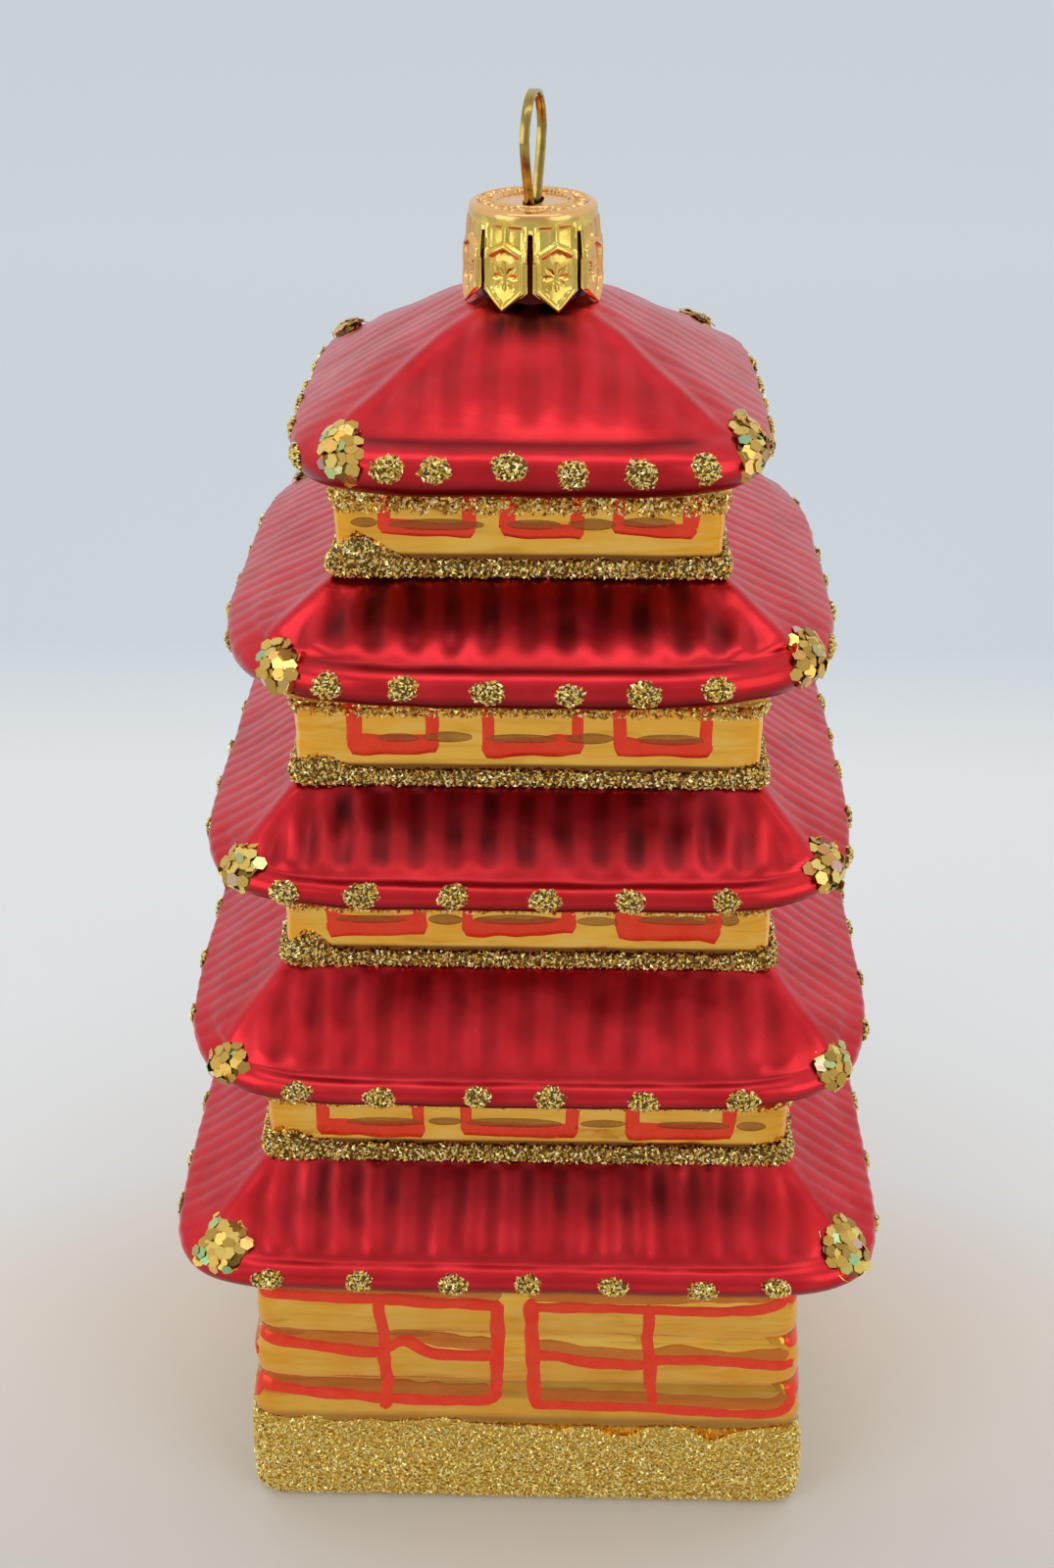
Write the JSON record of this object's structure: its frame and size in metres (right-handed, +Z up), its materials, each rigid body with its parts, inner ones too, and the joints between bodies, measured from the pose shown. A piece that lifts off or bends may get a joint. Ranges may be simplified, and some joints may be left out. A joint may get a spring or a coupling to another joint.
{
  "type": "pagoda-shaped glass hanging ornament",
  "caption": "Blown-glass tree ornament shaped as a square pagoda with stacked red roofs, gold storeys, glitter trim, a pressed metal cap and a wire hanging loop.",
  "frame": {"origin": "centre of the flat foot, on the surface that it stands on", "axes": "+Z up through the neck and the hanging loop, the front of the pagoda faces -Y, +X to the viewer's right"},
  "size_m": [0.081, 0.081, 0.1628],
  "materials": {
    "red_lacquer": "satin",
    "gold_lacquer": "gloss",
    "painted_line": "gloss",
    "fine_glitter": "sparkling",
    "flake_glitter": "sparkling",
    "cap_gold": "polished",
    "wire_gold": "polished"
  },
  "bodies": {
    "root": {"crown_cap": "cap_gold", "flakes_1_back_left": "flake_glitter", "flakes_1_back_right": "flake_glitter", "flakes_1_front_left": "flake_glitter", "flakes_1_front_right": "flake_glitter", "flakes_2_back_left": "flake_glitter", "flakes_2_back_right": "flake_glitter", "flakes_2_front_left": "flake_glitter", "flakes_2_front_right": "flake_glitter", "flakes_3_back_left": "flake_glitter", "flakes_3_back_right": "flake_glitter", "flakes_3_front_left": "flake_glitter", "flakes_3_front_right": "flake_glitter", "flakes_4_back_left": "flake_glitter", "flakes_4_back_right": "flake_glitter", "flakes_4_front_left": "flake_glitter", "flakes_4_front_right": "flake_glitter", "flakes_5_back_left": "flake_glitter", "flakes_5_back_right": "flake_glitter", "flakes_5_front_left": "flake_glitter", "flakes_5_front_right": "flake_glitter", "glass_body": "red_lacquer", "glitter_foot_1": "fine_glitter", "glitter_foot_2": "fine_glitter", "glitter_foot_3": "fine_glitter", "glitter_foot_4": "fine_glitter", "glitter_plinth": "fine_glitter", "glitter_top_1": "fine_glitter", "glitter_top_2": "fine_glitter", "glitter_top_3": "fine_glitter", "glitter_top_4": "fine_glitter", "hanger_loop": "wire_gold"}
  },
  "joints": []
}
